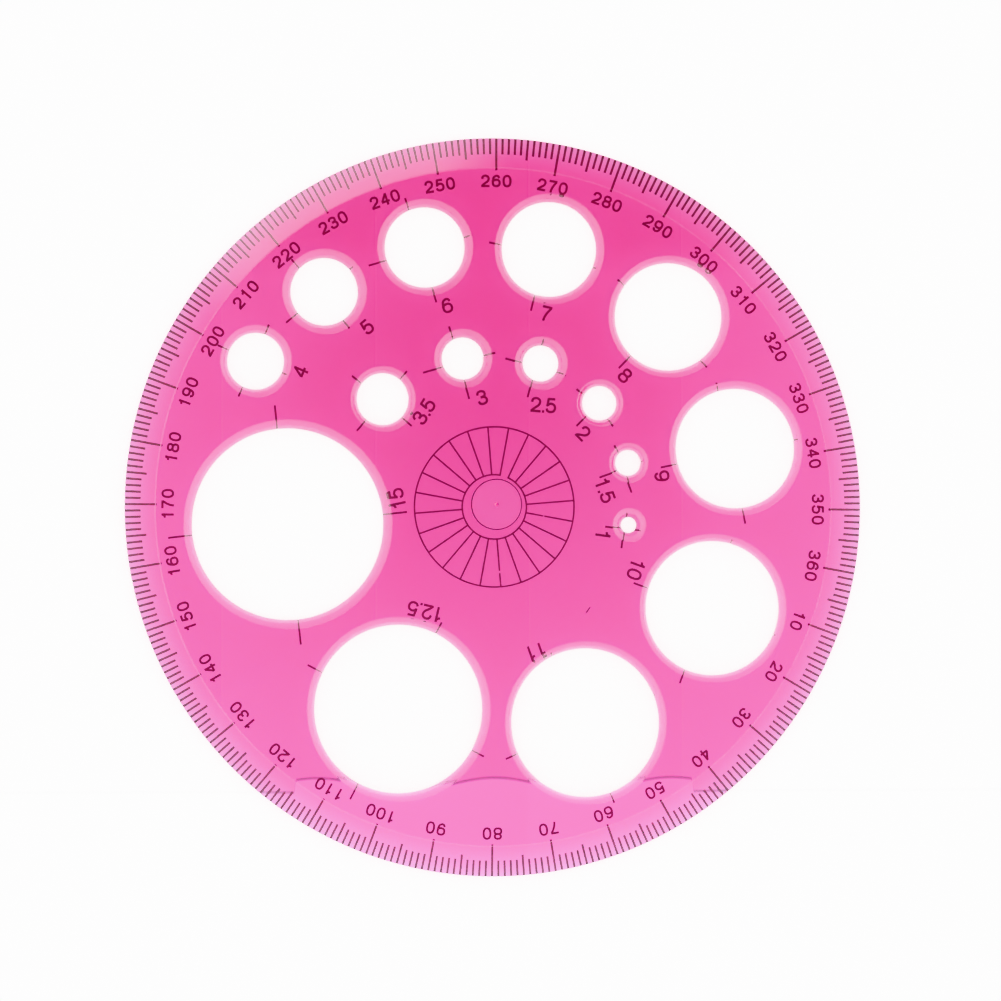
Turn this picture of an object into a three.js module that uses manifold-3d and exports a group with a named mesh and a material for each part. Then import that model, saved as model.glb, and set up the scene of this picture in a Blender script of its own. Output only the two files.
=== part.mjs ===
// Full-circle protractor and circle template: one moulded plate with sixteen drawing holes, and
// ink marks hot-stamped into its flat underside, so that they read through the clear plastic.
//
// Millimetres, +Z up. The origin is the middle of the underside, the face that lies on the paper.
// The dial's zero lies along +X, and its degrees run clockwise seen from above, towards -Y.

import * as THREE from "three";
import { mergeVertices } from "three/addons/utils/BufferGeometryUtils.js";
import Module from "manifold-3d";

const wasm = await Module();
wasm.setup();

// Plate
const PLATE_R = 55;
const PLATE_T = 1.8;
const BEVEL_W = 4.5; // the bevel that brings the degree scale close to the paper
const RIM_T = 0.9; // thickness left at the outer edge

// Drawing holes: a straight land for the pencil at the paper side, under a conical countersink
const LAND_T = 0.55;
const HOLES = [
  { bore: 28.4, countersinkW: 1.3, centreR: 30.9, dial: 164.8 },
  { bore: 25.0, countersinkW: 1.15, centreR: 33.3, dial: 105.1 },
  { bore: 22.1, countersinkW: 1.0, centreR: 34.9, dial: 56.7 },
  { bore: 20.0, countersinkW: 1.0, centreR: 36.0, dial: 14.4 },
  { bore: 17.8, countersinkW: 1.1, centreR: 37.2, dial: 336.0 },
  { bore: 16.0, countersinkW: 1.05, centreR: 38.6, dial: 302.2 },
  { bore: 14.1, countersinkW: 1.15, centreR: 39.3, dial: 271.7 },
  { bore: 11.9, countersinkW: 1.2, centreR: 40.0, dial: 244.6 },
  { bore: 10.0, countersinkW: 1.3, centreR: 40.8, dial: 221.2 },
  { bore: 8.4, countersinkW: 1.1, centreR: 41.6, dial: 200.9 },
  { bore: 7.7, countersinkW: 0.95, centreR: 23.1, dial: 213.5 },
  { bore: 6.2, countersinkW: 1.25, centreR: 22.6, dial: 247.6 },
  { bore: 5.3, countersinkW: 1.3, centreR: 22.5, dial: 277.6 },
  { bore: 5.1, countersinkW: 0.9, centreR: 22.1, dial: 305.1 },
  { bore: 3.8, countersinkW: 1.0, centreR: 21.1, dial: 331.4 },
  { bore: 2.3, countersinkW: 1.35, centreR: 20.3, dial: 357.2 },
];

// Gate well: the shallow round recess in the underside where the plate was filled
const WELL_R = 3.8;
const WELL_FLOOR_R = 3.7;
const WELL_DEPTH = 0.25;
const WELL_OFFSET = { centreR: 0.5, dial: 301 };
const GATE_R = 0.35;
const GATE_TOP_R = 0.08;
const GATE_HEIGHT = 0.24; // the gate's pointed stub, inside the well

// Stamped marks
const INK_T = 0.05;
const INK_RECESS = 0.01; // the ink's face lies this far inside the underside
const STAMP_DEPTH = 0.1;
const STAMP_CLEARANCE = 0.05; // air between the ink and each side of its groove
const LINE_W = 0.33;
const ROSETTE_LINE_W = 0.22;

const DEGREE_STEP = 10;
const DEGREE_MARK_INNER_R = 50.2;
const DEGREE_MARK_OUTER_R = PLATE_R - 0.1;

const ROSETTE_OUTER_R = 11.93;
const ROSETTE_INNER_R = 4.8;
const ROSETTE_SPOKES = 24;

// Facets
const RIM_SEGMENTS = 180;
const RING_SEGMENTS = 72;
const LEAST_HOLE_SEGMENTS = 24;
const OVERSHOOT = 0.5; // how far a cutter passes the face that it cuts

const plastic = new THREE.MeshStandardMaterial({
  color: 0xe8408f,
  roughness: 0.12,
  metalness: 0,
  transparent: true,
  opacity: 0.75,
});
const ink = new THREE.MeshStandardMaterial({
  color: 0x6e1040,
  roughness: 0.55,
  metalness: 0,
});

function solid(geometry) {
  const bare = geometry.index ? geometry.toNonIndexed() : geometry.clone();
  bare.deleteAttribute("normal");
  bare.deleteAttribute("uv");
  const merged = mergeVertices(bare, 1e-4);
  return new wasm.Manifold(
    new wasm.Mesh({
      numProp: 3,
      vertProperties: merged.attributes.position.array,
      triVerts: new Uint32Array(merged.index.array),
    }),
  );
}

function namedMesh(name, shape, material) {
  const { vertProperties, triVerts } = shape.getMesh();
  const geometry = new THREE.BufferGeometry();
  geometry.setAttribute("position", new THREE.BufferAttribute(vertProperties, 3));
  geometry.setIndex(new THREE.BufferAttribute(triVerts, 1));
  geometry.computeVertexNormals();
  const mesh = new THREE.Mesh(geometry, material);
  mesh.name = name;
  return mesh;
}

// A turned solid about +Z. Its profile of [radius, height] pairs runs from the bottom to the top.
function turned(profile, segments) {
  const points = profile.map(([r, z]) => new THREE.Vector2(r, z));
  return new THREE.LatheGeometry(points, segments).rotateX(Math.PI / 2);
}

const dialAngle = (degrees) => -THREE.MathUtils.degToRad(degrees);

function atDial(geometry, centreR, dial) {
  return geometry.translate(centreR, 0, 0).rotateZ(dialAngle(dial));
}

// A bar along the dial's radius, its underside at height low.
function radialBar(innerR, outerR, width, low, height, dial) {
  const bar = new THREE.BoxGeometry(outerR - innerR, width, height);
  bar.translate((innerR + outerR) / 2, 0, low + height / 2);
  return solid(bar.rotateZ(dialAngle(dial)));
}

// A flat ring on the dial's centre, its middle line at radius r.
function flatRing(r, width, low, height) {
  const profile = [
    [r - width / 2, low],
    [r + width / 2, low],
    [r + width / 2, low + height],
    [r - width / 2, low + height],
    [r - width / 2, low],
  ];
  return solid(turned(profile, RING_SEGMENTS));
}

function plateBlank() {
  const profile = [
    [0, 0],
    [PLATE_R, 0],
    [PLATE_R, RIM_T],
    [PLATE_R - BEVEL_W, PLATE_T],
    [0, PLATE_T],
  ];
  return solid(turned(profile, RIM_SEGMENTS));
}

function holeCutter({ bore, countersinkW, centreR, dial }) {
  const r = bore / 2;
  const flare = countersinkW / (PLATE_T - LAND_T);
  const profile = [
    [0, -OVERSHOOT],
    [r, -OVERSHOOT],
    [r, LAND_T],
    [r + countersinkW + flare * OVERSHOOT, PLATE_T + OVERSHOOT],
    [0, PLATE_T + OVERSHOOT],
  ];
  const segments = Math.max(LEAST_HOLE_SEGMENTS, 4 * Math.round(1.2 * r));
  return solid(atDial(turned(profile, segments), centreR, dial));
}

function gateWellCutter() {
  const flare = (WELL_R - WELL_FLOOR_R) / WELL_DEPTH;
  const profile = [
    [0, -OVERSHOOT],
    [WELL_R + flare * OVERSHOOT, -OVERSHOOT],
    [WELL_FLOOR_R, WELL_DEPTH],
    [GATE_R, WELL_DEPTH],
    [GATE_TOP_R, WELL_DEPTH - GATE_HEIGHT],
    [0, WELL_DEPTH - GATE_HEIGHT],
  ];
  const well = turned(profile, RING_SEGMENTS);
  return solid(atDial(well, WELL_OFFSET.centreR, WELL_OFFSET.dial));
}

// The rosette: two rings joined by spokes.
function rosette(lineW, low, height) {
  let shape = flatRing(ROSETTE_OUTER_R, lineW, low, height);
  shape = shape.add(flatRing(ROSETTE_INNER_R, lineW, low, height));
  for (let i = 0; i < ROSETTE_SPOKES; i += 1) {
    const dial = (i * 360) / ROSETTE_SPOKES;
    const spoke = radialBar(ROSETTE_INNER_R, ROSETTE_OUTER_R, lineW, low, height, dial);
    shape = shape.add(spoke);
  }
  return shape;
}

const grooveWidth = (lineW) => lineW + 2 * STAMP_CLEARANCE;
const STAMP_CUT = STAMP_DEPTH + OVERSHOOT;

function degreeMark(dial) {
  return radialBar(DEGREE_MARK_INNER_R, DEGREE_MARK_OUTER_R, LINE_W, INK_RECESS, INK_T, dial);
}

// A degree mark's groove runs out through the rim.
function degreeGroove(dial) {
  const innerR = DEGREE_MARK_INNER_R - STAMP_CLEARANCE;
  const outerR = PLATE_R + OVERSHOOT;
  return radialBar(innerR, outerR, grooveWidth(LINE_W), -OVERSHOOT, STAMP_CUT, dial);
}

const degrees = [];
for (let dial = DEGREE_STEP; dial <= 360; dial += DEGREE_STEP) degrees.push(dial);

function templatePlate() {
  let shape = plateBlank();
  for (const hole of HOLES) shape = shape.subtract(holeCutter(hole));
  shape = shape.subtract(gateWellCutter());
  shape = shape.subtract(rosette(grooveWidth(ROSETTE_LINE_W), -OVERSHOOT, STAMP_CUT));
  for (const dial of degrees) shape = shape.subtract(degreeGroove(dial));
  return shape;
}

const template = new THREE.Group();
template.add(namedMesh("template_plate", templatePlate(), plastic));
template.add(namedMesh("rosette_ink", rosette(ROSETTE_LINE_W, INK_RECESS, INK_T), ink));
for (const dial of degrees) {
  const name = `degree_mark_${String(dial).padStart(3, "0")}`;
  template.add(namedMesh(name, degreeMark(dial), ink));
}

export default template;
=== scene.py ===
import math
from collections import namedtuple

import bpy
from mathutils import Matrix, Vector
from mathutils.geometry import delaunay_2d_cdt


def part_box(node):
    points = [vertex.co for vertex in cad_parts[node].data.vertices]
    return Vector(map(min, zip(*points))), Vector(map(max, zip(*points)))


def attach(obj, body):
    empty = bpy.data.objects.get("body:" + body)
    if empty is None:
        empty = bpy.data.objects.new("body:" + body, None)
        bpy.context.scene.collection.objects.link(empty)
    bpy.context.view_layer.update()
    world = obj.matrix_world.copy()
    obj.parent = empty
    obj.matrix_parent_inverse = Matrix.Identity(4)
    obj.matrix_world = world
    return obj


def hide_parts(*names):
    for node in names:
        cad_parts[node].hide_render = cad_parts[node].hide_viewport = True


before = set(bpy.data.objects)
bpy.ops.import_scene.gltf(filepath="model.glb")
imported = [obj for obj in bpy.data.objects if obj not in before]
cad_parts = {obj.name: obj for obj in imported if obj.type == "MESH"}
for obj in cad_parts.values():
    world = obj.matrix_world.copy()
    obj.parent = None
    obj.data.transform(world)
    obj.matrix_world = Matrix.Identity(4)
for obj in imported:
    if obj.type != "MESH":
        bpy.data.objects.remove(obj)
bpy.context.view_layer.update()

# Full-circle protractor and circle template: one moulded plate of clear pink plastic with sixteen
# countersunk holes, and dark ink stamped into its underside. The shapes below are worked out in
# millimetres in the CAD's own frame and turned into metres as each mesh is made. The dial's zero
# lies along +X, and its degrees run clockwise seen from above.

MM = 0.001
TAU = 2 * math.pi
TINY = 1e-6
WELD = 1e-5  # points of the ink's plans closer than this are one
DIAL_DEGREES = 360

# Plate
PLATE_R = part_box("template_plate")[1].x / MM
PLATE_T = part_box("template_plate")[1].z / MM
BEVEL_W = 4.5
RIM_T = 0.9
LAND_T = 0.55

# Each hole's label, bore, countersink's width, distance from the dial's centre and dial angle
Hole = namedtuple("Hole", "label bore countersink_w centre_r dial")
HOLES = [
    Hole("15", 28.4, 1.3, 30.9, 164.8),
    Hole("12.5", 25.0, 1.15, 33.3, 105.1),
    Hole("11", 22.1, 1.0, 34.9, 56.7),
    Hole("10", 20.0, 1.0, 36.0, 14.4),
    Hole("9", 17.8, 1.1, 37.2, 336.0),
    Hole("8", 16.0, 1.05, 38.6, 302.2),
    Hole("7", 14.1, 1.15, 39.3, 271.7),
    Hole("6", 11.9, 1.2, 40.0, 244.6),
    Hole("5", 10.0, 1.3, 40.8, 221.2),
    Hole("4", 8.4, 1.1, 41.6, 200.9),
    Hole("3.5", 7.7, 0.95, 23.1, 213.5),
    Hole("3", 6.2, 1.25, 22.6, 247.6),
    Hole("2.5", 5.3, 1.3, 22.5, 277.6),
    Hole("2", 5.1, 0.9, 22.1, 305.1),
    Hole("1.5", 3.8, 1.0, 21.1, 331.4),
    Hole("1", 2.3, 1.35, 20.3, 357.2),
]

# The stamp that marks each hole lies a little off it: the stamp's distance and dial angle, the
# dial angle that its axis points to, the reach of its four marks, its label's place inwards and
# clockwise of its centre, and how far its label is turned askew
Stamp = namedtuple("Stamp", "centre_r dial axis reach label_in label_clockwise label_turn")
STAMPS = {
    "15": Stamp(30.9, 164.6, 163.4, 17.85, 16.6, 2.05, -6),
    "12.5": Stamp(33.7, 105.5, 107.1, 14.8, 15.1, 2.88, -14),
    "11": Stamp(35.2, 57.8, 56.6, 12.4, 12.9, 1.9, 4),
    "10": Stamp(35.3, 15.4, 9.8, 11.65, 12.0, -2.08, 0),
    "9": Stamp(36.4, 336.8, 338.0, 10.75, 10.85, 1.3, 0),
    "8": Stamp(37.25, 302.2, 303.9, 9.35, 9.5, 1.45, 0),
    "7": Stamp(38.2, 270.9, 273.1, 8.45, 8.3, 2.3, 0),
    "6": Stamp(39.75, 243.6, 242.9, 8.1, 9.0, 1.4, 0),
    "5": Stamp(40.9, 220.3, 219.5, 6.7, 8.2, 2.15, 0),
    "4": Stamp(41.9, 200.8, 192.5, 5.8, 7.0, 1.2, 0),
    "3.5": Stamp(23.0, 212.8, 209.6, 5.8, 5.8, 2.85, -8),
    "3": Stamp(22.1, 245.9, 244.1, 5.6, 5.9, 1.9, 0),
    "2.5": Stamp(21.8, 276.2, 274.8, 4.7, 5.2, 2.6, -11),
    "2": Stamp(21.15, 305.1, 304.9, 3.9, 3.9, 1.5, 0),
    "1.5": Stamp(20.1, 333.2, 329.6, 3.75, 3.6, 2.0, 0),
    "1": Stamp(19.7, 359.3, 357.4, 2.85, 3.0, 1.2, 0),
}

# Gate well in the underside, with a pointed stub in its middle
WELL_R = 3.8
WELL_FLOOR_R = 3.68
WELL_DEPTH = 0.25
WELL_CENTRE_R = 0.5
WELL_DIAL = 301
GATE_R = 0.3
GATE_TOP_R = 0.08
GATE_HEIGHT = 0.24

# Witness line of the mould, a fine groove along the top of the bevel
WITNESS_W = 0.2
WITNESS_DEPTH = 0.045
WITNESS_ROUND = 0.02

# Rounding of the moulding's edges
BOTTOM_ROUND = 0.08
RIM_ROUND = 0.12
COUNTERSINK_ROUND = 0.5
WELL_ROUND = 0.02
ROUND_STEPS = 4
LEAD = 1.0  # flat stretch beside a profile, which gives its end corner a direction

# A countersink's flank bulges: where it turns flatter, and how gently
BULGE_OUT_SHARE = 0.42
BULGE_UP_SHARE = 0.6
BULGE_ROUND = 1.0

# Moulded faces are never quite flat: how far the top face sinks, over what lengths, and how far
# its ripples meander
SAG = 0.004
SAG_LENGTH_X = 5.1
SAG_LENGTH_Y = 6.7
SAG_MEANDER = 0.8
SLOPE_STEP = 0.01

# Facets
RIM_SEGMENTS = 720
FACET_LENGTH = 0.35
LEAST_SEGMENTS = 96
TOP_GRID = 2.0
GRID_CLEARANCE = 0.5

# Ink
INK_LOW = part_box("degree_mark_010")[0].z / MM
INK_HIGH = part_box("degree_mark_010")[1].z / MM
LINE_W = 0.33
CENTRING_LINE_W = 0.28
EDGE_GAP = BOTTOM_ROUND + 0.02  # from a hole's edge to the ink beside it
MARK_OUTER_R = PLATE_R - 0.1
NUMERAL_STEP = 10
FIVE_STEP = 5
FIVE_DEGREE_INNER_R = 51.8
ONE_DEGREE_INNER_R = 52.5
NUMERAL_R = 48.6
Figures = namedtuple("Figures", "width height stroke advance point_advance")
DIAL_FIGURES = Figures(1.34, 1.87, 0.32, 1.62, 0.75)
HOLE_FIGURES = Figures(1.60, 2.27, 0.34, 1.65, 0.60)
ROSETTE_LINE_W = 0.22
ROSETTE_OUTER_R = 11.93
ROSETTE_INNER_R = 4.8
ROSETTE_SPOKES = 24
ROSETTE_SEGMENTS = 144

# Places where the stamp missed: a stretch of the rosette's inner ring, as dial angles, and short
# stretches of spokes, as distances from the middle
RING_GAP = (271, 284)
SPOKE_GAPS = {75: (9.55, 9.9), 0: (7.4, 7.6)}

# A stray dash of ink beside the rosette: its place, its direction and its size
STRAY_CENTRE_R = 20.8
STRAY_DIAL = 37.2
STRAY_DIRECTION = 295.6
STRAY_LENGTH = 1.0
STRAY_W = 0.16


def at_dial(r, dial):
    """The place at a distance from the dial's centre, on a dial angle in degrees."""
    angle = math.radians(dial)
    return Vector((r * math.cos(angle), -r * math.sin(angle)))


def clockwise_at(dial):
    """The direction in which the dial angle grows."""
    angle = math.radians(dial)
    return Vector((-math.sin(angle), -math.cos(angle)))


def segments_for(radius):
    return max(LEAST_SEGMENTS, 4 * round(TAU * radius / FACET_LENGTH / 4))


# ---------------------------------------------------------------- plate


def rounded_profile(corners, side):
    """(radius, height, normal's radial part, normal's rise) along a profile of
    (radius, height, rounding) corners. side is 1 where air is on its left, -1 on its right."""
    result = []
    for before, corner, after in zip(corners, corners[1:], corners[2:]):
        here = Vector(corner[:2])
        come = (here - Vector(before[:2])).normalized()
        go = (Vector(after[:2]) - here).normalized()
        turn = math.atan2(come.x * go.y - come.y * go.x, come.dot(go))
        rounding = corner[2]
        start = here - come * rounding * math.tan(abs(turn) / 2)
        normal = Vector((-come.y, come.x)) * side
        bulge = -1 if turn * side > 0 else 1
        centre = start - normal * rounding * bulge
        for step in range(ROUND_STEPS + 1):
            angle = turn * step / ROUND_STEPS
            turned = Vector((
                normal.x * math.cos(angle) - normal.y * math.sin(angle),
                normal.x * math.sin(angle) + normal.y * math.cos(angle),
            ))
            point = centre + turned * rounding * bulge
            result.append((point.x, point.y, turned.x, turned.y))
    return result


class Shell:
    """Vertices with their true normals, in millimetres, and the faces on them."""

    def __init__(self):
        self.points = []
        self.normals = []
        self.faces = []

    def add_point(self, point, normal):
        self.points.append(point)
        self.normals.append(normal)
        return len(self.points) - 1

    def sweep(self, profile, centre, segments):
        """Turns a profile about a vertical axis. Returns its first and last ring."""
        rings = []
        for radius, height, radial, rise in profile:
            ring = []
            for i in range(segments):
                angle = TAU * i / segments
                c, s = math.cos(angle), math.sin(angle)
                point = Vector((centre.x + radius * c, centre.y + radius * s, height))
                ring.append(self.add_point(point, Vector((radial * c, radial * s, rise))))
            rings.append(ring)
        for low, high in zip(rings, rings[1:]):
            for i in range(segments):
                j = (i + 1) % segments
                self.faces.append((low[i], low[j], high[j], high[i]))
        return rings[0], rings[-1]

    def fill(self, outer, inner, inside, extra=()):
        """Triangles over the flat region between an outer ring and inner rings."""
        owners = []
        edges = []
        for ring in [outer, *inner]:
            first = len(owners)
            owners.extend(ring)
            count = len(ring)
            edges.extend((first + i, first + (i + 1) % count) for i in range(count))
        owners.extend(extra)
        flat = [self.points[k].xy for k in owners]
        found = delaunay_2d_cdt(flat, edges, [], 0, TINY)
        index = [owners[origin[0]] for origin in found[3]]
        for face in found[2]:
            corners = [index[k] for k in face]
            middle = sum((self.points[k].xy for k in corners), Vector((0, 0))) / len(corners)
            if inside(middle):
                self.faces.append(tuple(corners))


def hole_profile(hole):
    """A hole's wall from the underside to the top face: land, then bulging countersink."""
    bore_r = hole.bore / 2
    top_r = bore_r + hole.countersink_w
    bulge_height = LAND_T + BULGE_UP_SHARE * (PLATE_T - LAND_T)
    return rounded_profile(
        [
            (bore_r + LEAD, 0, 0),
            (bore_r, 0, BOTTOM_ROUND),
            (bore_r, LAND_T, BOTTOM_ROUND),
            (bore_r + BULGE_OUT_SHARE * hole.countersink_w, bulge_height, BULGE_ROUND),
            (top_r, PLATE_T, COUNTERSINK_ROUND),
            (top_r + LEAD, PLATE_T, 0),
        ],
        side=1,
    )


def rim_profile():
    """The plate's edge from the underside to the top face: rim, bevel, then witness line."""
    crease_r = PLATE_R - BEVEL_W
    return rounded_profile(
        [
            (PLATE_R - LEAD, 0, 0),
            (PLATE_R, 0, RIM_ROUND),
            (PLATE_R, RIM_T, RIM_ROUND),
            (crease_r + WITNESS_W / 2, PLATE_T, WITNESS_ROUND),
            (crease_r, PLATE_T - WITNESS_DEPTH, WITNESS_ROUND),
            (crease_r - WITNESS_W / 2, PLATE_T, WITNESS_ROUND),
            (crease_r - LEAD, PLATE_T, 0),
        ],
        side=-1,
    )


def well_profile():
    """The gate well from the underside to its floor, then down the stub to its tip."""
    return rounded_profile(
        [
            (WELL_R + LEAD, 0, 0),
            (WELL_R, 0, WELL_ROUND),
            (WELL_FLOOR_R, WELL_DEPTH, WELL_ROUND),
            (GATE_R, WELL_DEPTH, WELL_ROUND),
            (GATE_TOP_R, WELL_DEPTH - GATE_HEIGHT, WELL_ROUND),
            (0, WELL_DEPTH - GATE_HEIGHT, 0),
        ],
        side=1,
    )


def sag(x, y):
    """How far the top face has sunk at a place: nothing at the least, SAG at the most."""
    ripple = math.sin(x / SAG_LENGTH_X + SAG_MEANDER * math.sin(y / SAG_LENGTH_Y))
    swell = math.sin(y / SAG_LENGTH_Y - x / (2 * SAG_LENGTH_X))
    return SAG * (2 + ripple + swell) / 4


def sink_top(shell):
    """Lets the top face sink a little, unevenly, and leans its normals to suit."""
    step = SLOPE_STEP
    for k, point in enumerate(shell.points):
        share = (point.z - LAND_T) / (PLATE_T - LAND_T)
        if share <= 0:
            continue
        x, y = point.x, point.y
        slope_x = (sag(x + step, y) - sag(x - step, y)) / (2 * step)
        slope_y = (sag(x, y + step) - sag(x, y - step)) / (2 * step)
        normal = shell.normals[k]
        lean = share * max(0, normal.z)
        shell.normals[k] = (normal + Vector((slope_x, slope_y, 0)) * lean).normalized()
        point.z -= share * sag(x, y)


def grid_points(shell, fits):
    """Points spread over the top face, so that it can sink between its edges."""
    count = math.ceil(PLATE_R / TOP_GRID)
    found = []
    for i in range(-count, count + 1):
        for j in range(-count, count + 1):
            x = (i + (j % 2) / 2) * TOP_GRID
            y = j * TOP_GRID
            if fits(Vector((x, y)), GRID_CLEARANCE):
                found.append(shell.add_point(Vector((x, y, PLATE_T)), Vector((0, 0, 1))))
    return found


def plate_shell():
    """The whole moulded plate as one closed surface."""
    shell = Shell()
    middle = Vector((0, 0))
    rim_low, rim_high = shell.sweep(rim_profile(), middle, RIM_SEGMENTS)
    low_rings, high_rings, low_circles, high_circles = [], [], [], []
    for hole in HOLES:
        centre = at_dial(hole.centre_r, hole.dial)
        profile = hole_profile(hole)
        low, high = shell.sweep(profile, centre, segments_for(hole.bore / 2))
        low_rings.append(low)
        high_rings.append(high)
        low_circles.append((centre, profile[0][0]))
        high_circles.append((centre, profile[-1][0]))
    well_centre = at_dial(WELL_CENTRE_R, WELL_DIAL)
    profile = well_profile()
    well_edge, stub_top = shell.sweep(profile, well_centre, segments_for(WELL_R))
    low_rings.append(well_edge)
    low_circles.append((well_centre, profile[0][0]))
    shell.faces.append(tuple(stub_top))

    def clear_of(circles, outer_r):
        def fits(point, clearance=0):
            if point.length > outer_r - clearance:
                return False
            return all((point - c).length > r + clearance for c, r in circles)
        return fits

    shell.fill(rim_low, low_rings, clear_of(low_circles, PLATE_R))
    top = clear_of(high_circles, rim_profile()[-1][0])
    shell.fill(rim_high, high_rings, top, grid_points(shell, top))
    sink_top(shell)
    return shell


def new_object(name, points, faces, material):
    mesh = bpy.data.meshes.new(name)
    mesh.from_pydata([tuple(c * MM for c in p) for p in points], [], faces)
    mesh.materials.append(material)
    made = bpy.data.objects.new(name, mesh)
    bpy.context.scene.collection.objects.link(made)
    return made


def facing_out(shell):
    """The shell's faces, each turned so that it looks along its vertices' normals."""
    faces = []
    for face in shell.faces:
        corners = [shell.points[k] for k in face]
        across = Vector((0, 0, 0))
        for a, b in zip(corners, corners[1:] + corners[:1]):
            across += a.cross(b)
        wanted = sum((shell.normals[k] for k in face), Vector((0, 0, 0)))
        faces.append(face if across.dot(wanted) > 0 else tuple(reversed(face)))
    return faces


def make_plate(material):
    shell = plate_shell()
    plate = new_object("moulded_plate", shell.points, facing_out(shell), material)
    plate.data.shade_smooth()
    plate.data.normals_split_custom_set_from_vertices([tuple(n) for n in shell.normals])
    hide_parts("template_plate")
    return plate


# ---------------------------------------------------------------- ink


def oval(cx, cy, rx, ry, points=22, squareness=2.4):
    """A closed loop, a little squarer than an ellipse."""
    loop = []
    for i in range(points + 1):
        angle = TAU * i / points
        c, s = math.cos(angle), math.sin(angle)
        x = cx + rx * math.copysign(abs(c) ** (2 / squareness), c)
        y = cy + ry * math.copysign(abs(s) ** (2 / squareness), s)
        loop.append((x, y))
    return loop


def smooth(points, steps=5):
    """A curve through the points."""
    ends = [points[0], *points, points[-1]]
    curve = []
    for a, b, c, d in zip(ends, ends[1:], ends[2:], ends[3:]):
        for step in range(steps):
            t = step / steps
            curve.append(tuple(
                0.5 * (2 * q + (r - p) * t + (2 * p - 5 * q + 4 * r - s) * t * t
                       + (3 * q - p - 3 * r + s) * t ** 3)
                for p, q, r, s in zip(a, b, c, d)
            ))
    curve.append(points[-1])
    return curve


def upside_down(strokes):
    return [[(1 - x, 1 - y) for x, y in stroke] for stroke in strokes]


SIX = [
    oval(0.5, 0.31, 0.5, 0.31),
    smooth([(0.94, 0.77), (0.80, 0.95), (0.52, 1.0), (0.17, 0.86), (0.01, 0.50), (0.0, 0.31)]),
]

# Middle lines of each digit's strokes, across and up from its lower left corner, in a unit box
GLYPHS = {
    "0": [oval(0.5, 0.5, 0.5, 0.5, points=28)],
    "1": [[(0.62, -0.09), (0.62, 1.09)],
          smooth([(0.16, 0.76), (0.38, 0.79), (0.55, 0.90), (0.60, 1.04)])],
    "2": [smooth([(0.02, 0.68), (0.13, 0.91), (0.50, 1.0), (0.87, 0.90), (0.97, 0.69),
                  (0.82, 0.46), (0.42, 0.26), (0.10, 0.08), (0.03, 0.0)]),
          [(-0.10, 0.0), (1.1, 0.0)]],
    "3": [smooth([(0.03, 0.74), (0.16, 0.93), (0.50, 1.0), (0.84, 0.91), (0.92, 0.75),
                  (0.78, 0.57), (0.36, 0.53)]),
          smooth([(0.36, 0.53), (0.82, 0.48), (1.0, 0.28), (0.86, 0.07), (0.50, 0.0),
                  (0.14, 0.07), (0.0, 0.27)])],
    "4": [[(0.74, -0.09), (0.74, 1.07)],
          [(0.74, 1.0), (0.0, 0.29)],
          [(-0.06, 0.27), (1.12, 0.27)]],
    "5": [[(0.96, 1.0), (0.16, 1.0)],
          [(0.20, 1.06), (0.06, 0.42)],
          smooth([(0.06, 0.46), (0.28, 0.60), (0.56, 0.64), (0.89, 0.54), (1.0, 0.32),
                  (0.86, 0.08), (0.48, 0.0), (0.13, 0.07), (0.0, 0.25)])],
    "6": SIX,
    "7": [[(-0.06, 1.0), (1.08, 1.0)],
          smooth([(1.0, 0.97), (0.66, 0.62), (0.43, 0.26), (0.35, -0.09)])],
    "8": [oval(0.5, 0.27, 0.5, 0.27), oval(0.5, 0.77, 0.44, 0.23)],
    "9": upside_down(SIX),
    ".": [[(0.0, -0.09), (0.0, 0.09)]],
}


def ribbon(line, width):
    """Four-cornered pieces of a stroke of the given width along a line."""
    closed = (Vector(line[0]) - Vector(line[-1])).length < TINY
    points = [Vector(p) for p in line]
    left, right = [], []
    for k, here in enumerate(points):
        before = points[k - 1] if k else (points[-2] if closed else here)
        after = points[k + 1] if k + 1 < len(points) else (points[1] if closed else here)
        along = (after - before).normalized()
        across = Vector((-along.y, along.x)) * width / 2
        left.append(here + across)
        right.append(here - across)
    pairs = zip(left, right, left[1:], right[1:])
    return [(a, b, d, c) for a, b, c, d in pairs]


def is_within(point, quad):
    """Whether a point lies in a convex quad, whichever way round its corners run."""
    sides = []
    for a, b in zip(quad, quad[1:] + quad[:1]):
        edge, reach = b - a, point - a
        sides.append(edge.x * reach.y - edge.y * reach.x)
    return all(s > 0 for s in sides) or all(s < 0 for s in sides)


def merged(quads):
    """Points and triangles of everything that the overlapping quads cover."""
    points = [corner for quad in quads for corner in quad]
    edges = [(4 * q + i, 4 * q + (i + 1) % 4) for q in range(len(quads)) for i in range(4)]
    found = delaunay_2d_cdt(points, edges, [], 0, WELD)
    flat = found[0]
    triangles = []
    for face in found[2]:
        middle = sum((flat[k] for k in face), Vector((0, 0))) / len(face)
        if any(is_within(middle, quad) for quad in quads):
            triangles.append(tuple(face))
    return flat, triangles


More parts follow.
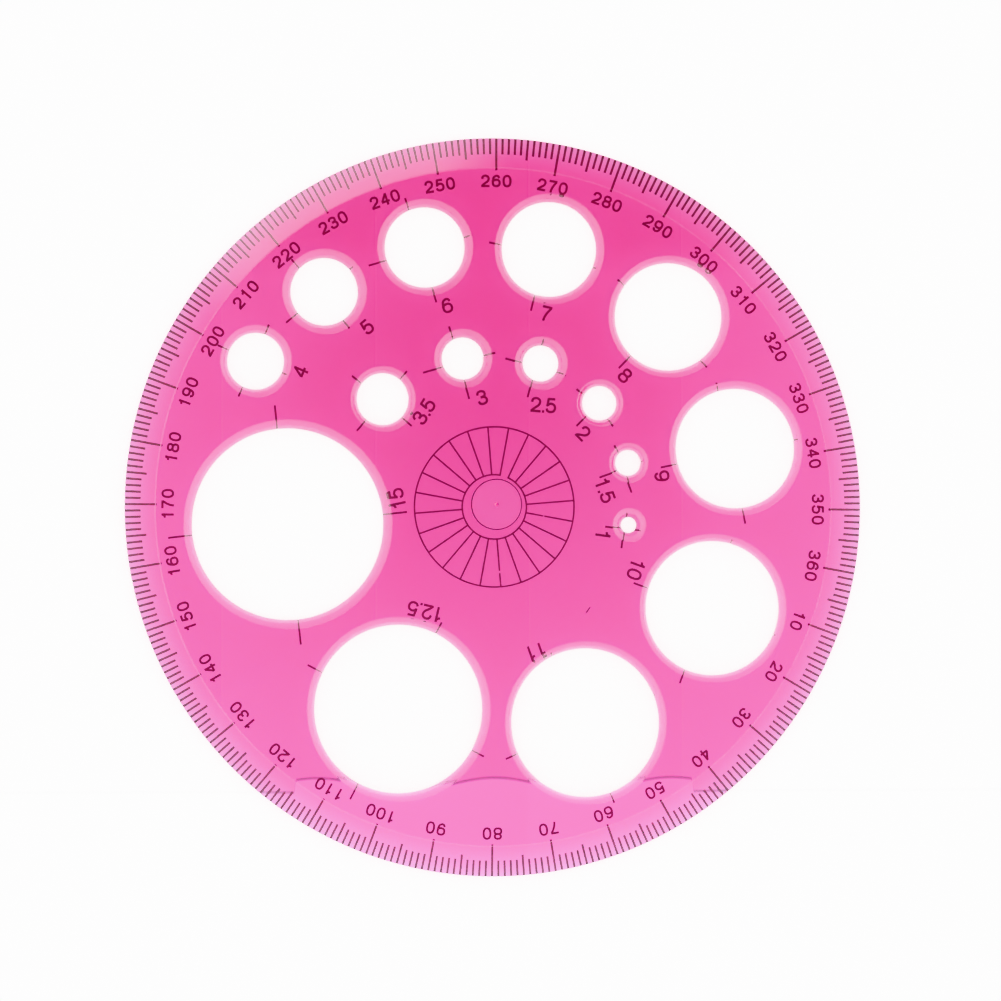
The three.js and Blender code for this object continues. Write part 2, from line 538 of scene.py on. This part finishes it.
class Slabs:
    """Thin slabs of ink, gathered into one mesh."""

    def __init__(self):
        self.points = []
        self.faces = []

    def add(self, flat, polygons):
        """Adds a slab whose plan is the given polygons on the given points."""
        base = len(self.points)
        count = len(flat)
        for height in (INK_LOW, INK_HIGH):
            self.points.extend((p[0], p[1], height) for p in flat)
        once = {}
        for polygon in polygons:
            corners = [flat[k] for k in polygon]
            sides = zip(corners, corners[1:] + corners[:1])
            area = sum(a[0] * b[1] - a[1] * b[0] for a, b in sides)
            ring = list(polygon) if area > 0 else list(reversed(polygon))
            self.faces.append(tuple(base + count + k for k in ring))
            self.faces.append(tuple(base + k for k in reversed(ring)))
            for a, b in zip(ring, ring[1:] + ring[:1]):
                if (b, a) in once:
                    del once[(b, a)]
                else:
                    once[(a, b)] = True
        for a, b in once:
            self.faces.append((base + a, base + b, base + count + b, base + count + a))

    def add_bar(self, start, end, width):
        along = (end - start).normalized()
        across = Vector((-along.y, along.x)) * width / 2
        plan = [start - across, end - across, end + across, start + across]
        self.add(plan, [(0, 1, 2, 3)])

    def add_text(self, text, figures, centre, dial):
        """Adds figures whose tops point outwards along a dial angle, centred on a point."""
        up = at_dial(1, dial)
        right = clockwise_at(dial)
        advances = [figures.point_advance if c == "." else figures.advance for c in text]
        pen = -sum(advances) / 2
        for character, advance in zip(text, advances):
            flat, triangles = glyph(character, figures)
            placed = [centre + right * (pen + advance / 2 + p.x) + up * p.y for p in flat]
            self.add(placed, triangles)
            pen += advance

    def finish(self, name, material):
        return new_object(name, self.points, self.faces, material)


glyph_store = {}


def glyph(character, figures):
    """Plan of a figure, in millimetres from its middle."""
    key = (character, figures)
    if key not in glyph_store:
        wide = figures.width - figures.stroke
        high = figures.height - figures.stroke
        across = 0 if character == "." else wide / 2
        quads = []
        for stroke in GLYPHS[character]:
            line = [(x * wide - across, (y - 0.5) * high) for x, y in stroke]
            quads.extend(ribbon(line, figures.stroke))
        glyph_store[key] = merged(quads)
    return glyph_store[key]


def make_degree_marks(name, dials, inner_r, material):
    slabs = Slabs()
    for dial in dials:
        slabs.add_bar(at_dial(inner_r, dial), at_dial(MARK_OUTER_R, dial), LINE_W)
    return slabs.finish(name, material)


def make_numeral(dial, material):
    slabs = Slabs()
    slabs.add_text(str(dial), DIAL_FIGURES, at_dial(NUMERAL_R, dial), dial)
    return slabs.finish(f"numeral_{dial:03d}", material)


def way_out(start, direction, centre, radius):
    """How far along a direction a point inside a circle is from its edge."""
    offset = start - centre
    half = offset.dot(direction)
    return -half + math.sqrt(half * half - offset.length_squared + radius * radius)


def make_hole_marks(hole, material):
    stamp = STAMPS[hole.label]
    middle = at_dial(stamp.centre_r, stamp.dial)
    hole_middle = at_dial(hole.centre_r, hole.dial)
    slabs = Slabs()
    for quarter in range(4):
        direction = at_dial(1, stamp.axis + 90 * quarter)
        edge = way_out(middle, direction, hole_middle, hole.bore / 2 + EDGE_GAP)
        slabs.add_bar(middle + direction * edge, middle + direction * stamp.reach, CENTRING_LINE_W)
    return slabs.finish(f"centring_marks_{hole.label}", material)


def make_hole_label(hole, material):
    stamp = STAMPS[hole.label]
    middle = at_dial(stamp.centre_r, stamp.dial) - at_dial(stamp.label_in, stamp.axis)
    middle += clockwise_at(stamp.axis) * stamp.label_clockwise
    slabs = Slabs()
    slabs.add_text(hole.label, HOLE_FIGURES, middle, stamp.axis + stamp.label_turn)
    return slabs.finish(f"radius_label_{hole.label}", material)


def arc(radius, start, end):
    """Points clockwise from one dial angle to another."""
    count = round((end - start) * ROSETTE_SEGMENTS / DIAL_DEGREES)
    return [tuple(at_dial(radius, start + (end - start) * i / count)) for i in range(count + 1)]


def make_rosette(material):
    gap_start, gap_end = RING_GAP
    quads = ribbon(arc(ROSETTE_INNER_R, gap_end, gap_start + DIAL_DEGREES), ROSETTE_LINE_W)
    quads += ribbon(arc(ROSETTE_OUTER_R, 0, DIAL_DEGREES), ROSETTE_LINE_W)
    for spoke in range(ROSETTE_SPOKES):
        dial = spoke * DIAL_DEGREES / ROSETTE_SPOKES
        ends = [ROSETTE_INNER_R, *SPOKE_GAPS.get(dial, ()), ROSETTE_OUTER_R]
        for inner_r, outer_r in zip(ends[::2], ends[1::2]):
            line = [tuple(at_dial(inner_r, dial)), tuple(at_dial(outer_r, dial))]
            quads += ribbon(line, ROSETTE_LINE_W)
    slabs = Slabs()
    slabs.add(*merged(quads))
    rosette = slabs.finish("rosette", material)
    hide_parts("rosette_ink")
    return rosette


def make_stray_dash(material):
    middle = at_dial(STRAY_CENTRE_R, STRAY_DIAL)
    half = at_dial(STRAY_LENGTH / 2, STRAY_DIRECTION)
    slabs = Slabs()
    slabs.add_bar(middle - half, middle + half, STRAY_W)
    return slabs.finish("stray_ink_dash", material)


# ---------------------------------------------------------------- materials

# The picture's own directions on the plate: the dial's zero lies clockwise of its horizontal
PICTURE_TURN_DEGREES = 10.4
PICTURE_TURN = math.radians(PICTURE_TURN_DEGREES)
RIGHT = Vector((math.cos(PICTURE_TURN), math.sin(PICTURE_TURN), 0))
UP = Vector((-math.sin(PICTURE_TURN), math.cos(PICTURE_TURN), 0))
ZENITH = Vector((0, 0, 1))


def add_node(tree, kind, inputs=None, **settings):
    """Adds a node. An input is a value, or a socket to link from."""
    made = tree.nodes.new(kind)
    for name, value in settings.items():
        setattr(made, name, value)
    for name, value in (inputs or {}).items():
        if isinstance(value, bpy.types.NodeSocket):
            tree.links.new(value, made.inputs[name])
        else:
            made.inputs[name].default_value = value
    return made


def empty_material(name):
    material = bpy.data.materials.new(name)
    material.use_nodes = True
    material.node_tree.nodes.clear()
    return material, material.node_tree


def millimetres(tree, scale=(1, 1, 1), turn=0):
    """Object coordinates in millimetres, stretched and turned about Z."""
    place = add_node(tree, "ShaderNodeTexCoord").outputs["Object"]
    mapping = add_node(tree, "ShaderNodeMapping", {
        "Vector": place,
        "Rotation": (0, 0, math.radians(turn)),
        "Scale": tuple(s / MM for s in scale),
    })
    return mapping.outputs["Vector"]


def noise_at(tree, place, scale, detail=2.0):
    made = add_node(tree, "ShaderNodeTexNoise", {
        "Vector": place, "Scale": scale, "Detail": detail, "Roughness": 0.5,
    })
    return made.outputs["Fac"]


def ranged(tree, value, low, high, to_low, to_high):
    made = add_node(tree, "ShaderNodeMapRange", {
        "Value": value, "From Min": low, "From Max": high, "To Min": to_low, "To Max": to_high,
    }, interpolation_type="SMOOTHSTEP")
    return made.outputs["Result"]


def maths(tree, operation, *values):
    made = add_node(tree, "ShaderNodeMath", dict(enumerate(values)), operation=operation)
    return made.outputs["Value"]


def mixed(tree, factor, first, second):
    made = add_node(tree, "ShaderNodeMix", {"Factor": factor, "A": first, "B": second})
    return made.outputs["Result"]


def mixed_colour(tree, factor, first, second):
    """Mixes two colours. The node's colour sockets share their names with its number sockets,
    so they are told apart by their type."""
    made = add_node(tree, "ShaderNodeMix", {"Factor": factor}, data_type="RGBA")
    first_socket, second_socket = [i for i in made.inputs if i.type == "RGBA"]
    first_socket.default_value = first
    second_socket.default_value = second
    return next(o for o in made.outputs if o.type == "RGBA")


# What is left of white light after one pass straight through the plate
ONE_PASS = (0.945, 0.292, 0.61)
ABSORPTION_DENSITY = 900.0
PLASTIC_IOR = 1.59

# Roughness of the flat faces, which are a little cloudy, and of the holes' tooled walls
HAZE_ROUGHNESS = (0.015, 0.035)
HAZE_SCALE = 0.09
HAZE_RANGE = (0.35, 0.75)
WALL_ROUGHNESS = 0.1
WALL_RISE = (0.80, 0.92)  # how far normals rise where walls end and where flat faces begin

# Fine scratches, in three directions
SCRATCH_TURNS = (17, 74, 131)
SCRATCH_STRETCH = (0.05, 2.2, 1)
SCRATCH_SCALE = 3.0
SCRATCH_RANGE = (0.72, 0.80)
SCRATCH_ROUGHNESS = 0.04
SCRATCH_DEPTH = 0.5

# Fine unevenness of the plastic's surface
GRAIN_SCALE = 0.8
GRAIN_HEIGHT = 0.001
GRAIN_STRENGTH = 0.5


def absorption_colour():
    depth = PLATE_T * MM * ABSORPTION_DENSITY
    return tuple(1 + math.log(share) / depth for share in ONE_PASS) + (1,)


def scratched(tree):
    """1 in a scratch and 0 beside it; crossing scratches add up."""
    scratches = []
    for turn in SCRATCH_TURNS:
        place = millimetres(tree, SCRATCH_STRETCH, turn)
        streak = noise_at(tree, place, SCRATCH_SCALE, detail=1.0)
        scratches.append(ranged(tree, streak, *SCRATCH_RANGE, 0, 1))
    return maths(tree, "ADD", scratches[0], maths(tree, "ADD", *scratches[1:]))


def plastic_roughness(tree, scratches):
    cloudy = noise_at(tree, millimetres(tree), HAZE_SCALE, detail=3.0)
    haze = ranged(tree, cloudy, *HAZE_RANGE, *HAZE_ROUGHNESS)
    flat = maths(tree, "MULTIPLY_ADD", scratches, SCRATCH_ROUGHNESS, haze)
    facing = add_node(tree, "ShaderNodeNewGeometry").outputs["Normal"]
    rise = add_node(tree, "ShaderNodeSeparateXYZ", {"Vector": facing}).outputs["Z"]
    wall = ranged(tree, maths(tree, "ABSOLUTE", rise), *WALL_RISE, 1, 0)
    return mixed(tree, wall, flat, WALL_ROUGHNESS)


def plastic_material():
    material, tree = empty_material("clear_pink_plastic")
    scratches = scratched(tree)
    roughness = plastic_roughness(tree, scratches)
    grain = noise_at(tree, millimetres(tree), GRAIN_SCALE)
    height = maths(tree, "MULTIPLY_ADD", scratches, -SCRATCH_DEPTH, grain)
    bump = add_node(tree, "ShaderNodeBump", {
        "Height": height, "Strength": GRAIN_STRENGTH, "Distance": GRAIN_HEIGHT * MM,
    })
    shader = add_node(tree, "ShaderNodeBsdfPrincipled", {
        "Base Color": (1, 1, 1, 1),
        "Transmission Weight": 1.0,
        "IOR": PLASTIC_IOR,
        "Roughness": roughness,
        "Normal": bump.outputs["Normal"],
    })
    inside = add_node(tree, "ShaderNodeVolumeAbsorption", {
        "Color": absorption_colour(), "Density": ABSORPTION_DENSITY,
    })
    add_node(tree, "ShaderNodeOutputMaterial", {
        "Surface": shader.outputs["BSDF"], "Volume": inside.outputs["Volume"],
    })
    return material


# The ink is painted paler from the picture's top to its foot, painted light standing in for the
# brighter glow beneath the plate there, and is a little patchy throughout
INK_AT_TOP = (0.20, 0.13, 0.11, 1)
INK_PAINTED_LIT = (0.27, 0.34, 0.28, 1)
INK_PATCHINESS = 0.15
INK_PATCH_SCALE = 1.3
INK_GRAIN_SCALE = 14.0
INK_GRAIN_HEIGHT = 0.004
INK_GRAIN_STRENGTH = 0.4
INK_ROUGHNESS = (0.42, 0.62)
NOISE_RANGE = (0.3, 0.7)  # most of a noise lies in here


def ink_material():
    material, tree = empty_material("stamped_ink")
    blotch = noise_at(tree, millimetres(tree), INK_PATCH_SCALE, detail=4.0)
    grain = noise_at(tree, millimetres(tree), INK_GRAIN_SCALE)
    place = millimetres(tree, turn=-PICTURE_TURN_DEGREES)
    up = add_node(tree, "ShaderNodeSeparateXYZ", {"Vector": place}).outputs["Y"]
    # Painted light: the ink's colour goes paler towards the foot, where the board glows brighter
    painted_lit = maths(tree, "MULTIPLY_ADD", up, -0.5 / PLATE_R, 0.5)  # 0 at the top, 1 at the foot
    patches = ranged(tree, blotch, *NOISE_RANGE, -INK_PATCHINESS, INK_PATCHINESS)
    bump = add_node(tree, "ShaderNodeBump", {
        "Height": grain, "Strength": INK_GRAIN_STRENGTH, "Distance": INK_GRAIN_HEIGHT * MM,
    })
    shader = add_node(tree, "ShaderNodeBsdfPrincipled", {
        "Base Color": mixed_colour(tree, maths(tree, "ADD", painted_lit, patches), INK_AT_TOP, INK_PAINTED_LIT),
        "Roughness": ranged(tree, grain, *NOISE_RANGE, *INK_ROUGHNESS),
        "Normal": bump.outputs["Normal"],
    })
    add_node(tree, "ShaderNodeOutputMaterial", {"Surface": shader.outputs["BSDF"]})
    return material


# ---------------------------------------------------------------- stage

FLOOR_GAP = 0.02
FLOOR_HALF = 3000.0
FLOOR_ALBEDO = 0.9
WHITE = (1, 1, 1, 1)

# The light board's glow is painted light and shade: dimmest above the picture's middle, weaker at
# its top, brighter along its foot, and brightest where the board is bare, so the plate lies in a
# painted, tinted shadow
GLOW_LEAST = 0.15
GLOW_MOST = 1.0
GLOW_FOOT = 1.0
GLOW_OPEN = 2.0
GLOW_TINT = (0.72, 1.0, 1.12, 1)
DIM_MIDDLE = (-2, 27, 0)
DIM_REACH = 120.0
DIM_TOP = (33, 41)
DIM_TOP_SHARE = 0.6

# The wavy top edge of the board's foot, and the dark line along it, a painted shade that darkens
# its glow and
# its paleness: how dark, and from where to where it fades beside the edge
FOOT_UP = -41.3
FOOT_WAVE = 1.0
FOOT_WAVE_LENGTH = 26.5
FOOT_HALF = 29.5
FOOT_END_BLUR = 0.3
FOOT_EDGE_BLUR = 0.05
FOOT_PAINTED_SHADE = 0.5
FOOT_PAINTED_SHADE_FADE = (0.1, 0.35)

# The board's upright panels and the seams between them, each seam painted as shade beside a
# highlight
PANEL_W = 22.9
PANEL_RIGHT = 4.9
PANELS_LEFT_OF_PLATE = 10  # whole panels, which keep the count across the plate above zero
PANEL_STEP = 0.06
SEAM_W = 0.5
SEAM_PAINTED_SHADING = 0.06


def distance_to(tree, place, point):
    made = add_node(tree, "ShaderNodeVectorMath", {0: place, 1: point}, operation="DISTANCE")
    return made.outputs["Value"]


def foot_of_board(tree, right, up):
    """How far a place is above the wavy top edge of the board's brighter foot."""
    phase = maths(tree, "MULTIPLY", right, TAU / FOOT_WAVE_LENGTH)
    wave = maths(tree, "MULTIPLY", maths(tree, "COSINE", phase), FOOT_WAVE)
    away = maths(tree, "ABSOLUTE", right)
    outside = ranged(tree, away, FOOT_HALF, FOOT_HALF + FOOT_END_BLUR, 0, 1)
    edge = mixed(tree, outside, wave, -FOOT_WAVE)
    return maths(tree, "SUBTRACT", maths(tree, "SUBTRACT", up, FOOT_UP), edge)


def panels_of_board(tree, right):
    """The board's upright panels: how bright each glows, dimming a little to the right, and how
    pale its face is, with a seam along its left edge painted into that paleness: a thin painted
    shade beside a thin painted highlight."""
    start = PANELS_LEFT_OF_PLATE - PANEL_RIGHT / PANEL_W
    across = maths(tree, "MULTIPLY_ADD", right, 1 / PANEL_W, start)
    part = maths(tree, "FRACT", across)
    shade = maths(tree, "MULTIPLY_ADD", part, -PANEL_STEP, 1 + PANEL_STEP / 2)
    along_seam = maths(tree, "MINIMUM", maths(tree, "MULTIPLY", part, PANEL_W / SEAM_W), 1.0)
    ripple = maths(tree, "SINE", maths(tree, "MULTIPLY", along_seam, TAU))
    return shade, maths(tree, "MULTIPLY_ADD", ripple, -SEAM_PAINTED_SHADING, 1.0)


def bare_board(tree, place):
    """1 where the board is bare: beyond the plate's outline and under its holes; 0 in the plate's
    painted shadow.
    """
    unshadowed = maths(tree, "GREATER_THAN", distance_to(tree, place, (0, 0, 0)), PLATE_R)
    for hole in HOLES:
        middle = at_dial(hole.centre_r, hole.dial).to_3d()
        away = distance_to(tree, place, (middle.dot(RIGHT), middle.dot(UP), 0))
        unshadowed = maths(tree, "MAXIMUM", unshadowed, maths(tree, "LESS_THAN", away, hole.bore / 2))
    return unshadowed


def floor_material():
    """White translucent board, lit from below, its glow painted dim and tinted under the plate as
    shade.
    """
    material, tree = empty_material("studio_floor")
    place = millimetres(tree, turn=-PICTURE_TURN_DEGREES)
    sides = add_node(tree, "ShaderNodeSeparateXYZ", {"Vector": place}).outputs
    right, up = sides["X"], sides["Y"]
    away = distance_to(tree, place, DIM_MIDDLE)
    glow = ranged(tree, away, 0.0, DIM_REACH, GLOW_LEAST, GLOW_MOST)
    glow = maths(tree, "MULTIPLY", glow, ranged(tree, up, *DIM_TOP, 1, DIM_TOP_SHARE))
    above = foot_of_board(tree, right, up)
    foot = ranged(tree, above, -FOOT_EDGE_BLUR, FOOT_EDGE_BLUR, 1, 0)
    glow = mixed(tree, foot, glow, maths(tree, "MAXIMUM", glow, GLOW_FOOT))
    shade, paleness = panels_of_board(tree, right)
    glow = maths(tree, "MULTIPLY", glow, shade)
    # Painted shade: a dark line along the foot's edge, in both the glow and the board's paleness
    line = ranged(tree, maths(tree, "ABSOLUTE", above), *FOOT_PAINTED_SHADE_FADE, 1 - FOOT_PAINTED_SHADE, 1)
    glow = maths(tree, "MULTIPLY", glow, line)
    paleness = maths(tree, "MULTIPLY", paleness, line)
    # Under the plate the glow is dimmed and tinted: a painted shadow of the plate on the board
    unshadowed = bare_board(tree, place)
    shader = add_node(tree, "ShaderNodeBsdfPrincipled", {
        "Base Color": maths(tree, "MULTIPLY", paleness, FLOOR_ALBEDO),
        "Roughness": 1.0,
        "Specular IOR Level": 0.0,
        "Emission Color": mixed_colour(tree, unshadowed, GLOW_TINT, WHITE),
        "Emission Strength": mixed(tree, unshadowed, glow, GLOW_OPEN),
    })
    add_node(tree, "ShaderNodeOutputMaterial", {"Surface": shader.outputs["BSDF"]})
    return material


def make_floor():
    h = FLOOR_HALF
    z = -FLOOR_GAP
    corners = [(-h, -h, z), (h, -h, z), (h, h, z), (-h, h, z)]
    floor = new_object("studio_floor", corners, [(0, 1, 2, 3)], floor_material())


def in_picture(right, up):
    """The unit direction above the plate with these parts along the picture's axes."""
    flat = RIGHT * right + UP * up
    return flat + ZENITH * math.sqrt(1 - flat.length_squared)


# The light tent: its sides, which give way to its roof between two angles from the zenith
SIDE_LIGHT = 3.85
SIDE_LIGHT_SPREAD = 0.3
SIDE_LIGHT_FALL = 0.2
ROOF_EDGE_DEGREES = 38
SIDE_EDGE_DEGREES = 52
ROOF_LIGHT = 1.2

# The roof's dark patch and the soft box: their middles, right and up in the picture, and where
# each begins and ends to fade
PATCH_LIGHT = 0.2
PATCH_MIDDLE = (0.13, 0.20)
PATCH_FADE = (0.25, 0.40)
SOFTBOX_LIGHT = 4.2
SOFTBOX_MIDDLE = (-0.09, 0.38)
SOFTBOX_FADE = (0.12, 0.23)


def part_along(tree, direction, axis):
    """How much of a direction lies along an axis."""
    made = add_node(tree, "ShaderNodeVectorMath", {0: direction, 1: axis},
                    operation="DOT_PRODUCT")
    return made.outputs["Value"]


def make_world():
    """A light tent: bright sides, brightest at the picture's left and right and dimmest at its
    top, a hazy roof with a dark patch, and a soft box above the picture's top left."""
    world = bpy.data.worlds.new("studio")
    bpy.context.scene.world = world
    world.use_nodes = True
    tree = world.node_tree
    tree.nodes.clear()
    direction = add_node(tree, "ShaderNodeTexCoord").outputs["Generated"]
    height = add_node(tree, "ShaderNodeSeparateXYZ", {"Vector": direction}).outputs["Z"]
    roof_edge = math.cos(math.radians(ROOF_EDGE_DEGREES))
    side_edge = math.cos(math.radians(SIDE_EDGE_DEGREES))
    from_patch = distance_to(tree, direction, in_picture(*PATCH_MIDDLE))
    roof = ranged(tree, from_patch, *PATCH_FADE, PATCH_LIGHT, ROOF_LIGHT)
    right = part_along(tree, direction, RIGHT)
    up = part_along(tree, direction, UP)
    spread = maths(tree, "SUBTRACT", maths(tree, "MULTIPLY", right, right),
                   maths(tree, "MULTIPLY", up, up))
    side = maths(tree, "MULTIPLY_ADD", spread, SIDE_LIGHT_SPREAD, 1.0)
    side = maths(tree, "MULTIPLY_ADD", up, -SIDE_LIGHT_FALL, side)
    side = maths(tree, "MULTIPLY", side, SIDE_LIGHT)
    tent = ranged(tree, height, side_edge, roof_edge, side, roof)
    from_box = distance_to(tree, direction, in_picture(*SOFTBOX_MIDDLE))
    box = ranged(tree, from_box, *SOFTBOX_FADE, SOFTBOX_LIGHT, 0)
    light = add_node(tree, "ShaderNodeBackground", {
        "Color": WHITE, "Strength": maths(tree, "ADD", tent, box),
    })
    add_node(tree, "ShaderNodeOutputWorld", {"Surface": light.outputs["Background"]})


# The camera's distance, how far it leans right and up of the zenith, its roll, the place right
# and up of the plate's middle that it aims at, and the width of what it takes in
CAMERA_DISTANCE = 900.0
CAMERA_LEAN = (-0.090, -0.020)
CAMERA_ROLL = 0.00116
AIM = (0.988, 0.967)
PICTURE_WIDTH = 149.167
SENSOR_WIDTH = 36.0


def make_camera():
    out = (RIGHT * CAMERA_LEAN[0] + UP * CAMERA_LEAN[1] + ZENITH).normalized()
    place = out * CAMERA_DISTANCE
    aim = RIGHT * AIM[0] + UP * AIM[1]
    back = (place - aim).normalized()
    rolled_up = UP * math.cos(CAMERA_ROLL) + RIGHT * math.sin(CAMERA_ROLL)
    across = rolled_up.cross(back).normalized()
    upright = back.cross(across)
    data = bpy.data.cameras.new("camera")
    data.sensor_width = SENSOR_WIDTH
    data.lens = SENSOR_WIDTH * CAMERA_DISTANCE / PICTURE_WIDTH
    camera = bpy.data.objects.new("camera", data)
    bpy.context.scene.collection.objects.link(camera)
    matrix = camera.matrix_world
    for row in range(3):
        matrix[row][0] = across[row]
        matrix[row][1] = upright[row]
        matrix[row][2] = back[row]
        matrix[row][3] = place[row] * MM
    camera.matrix_world = matrix
    bpy.context.scene.camera = camera


def main():
    plate = make_plate(plastic_material())
    ink = ink_material()
    whole = range(1, DIAL_DEGREES + 1)
    fives = [d for d in whole if d % FIVE_STEP == 0 and d % NUMERAL_STEP]
    ones = [d for d in whole if d % FIVE_STEP]
    marks = [
        make_degree_marks("five_degree_marks", fives, FIVE_DEGREE_INNER_R, ink),
        make_degree_marks("one_degree_marks", ones, ONE_DEGREE_INNER_R, ink),
        make_rosette(ink),
        make_stray_dash(ink),
    ]
    for dial in range(NUMERAL_STEP, DIAL_DEGREES + 1, NUMERAL_STEP):
        marks.append(make_numeral(dial, ink))
        cad_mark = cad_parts[f"degree_mark_{dial:03d}"]
        cad_mark.data.materials.clear()
        cad_mark.data.materials.append(ink)
    for hole in HOLES:
        marks.append(make_hole_marks(hole, ink))
        marks.append(make_hole_label(hole, ink))
    for piece in [plate, *marks]:
        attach(piece, "root")
    make_floor()
    make_world()
    make_camera()
    bpy.context.scene.view_settings.view_transform = "Khronos PBR Neutral"


main()
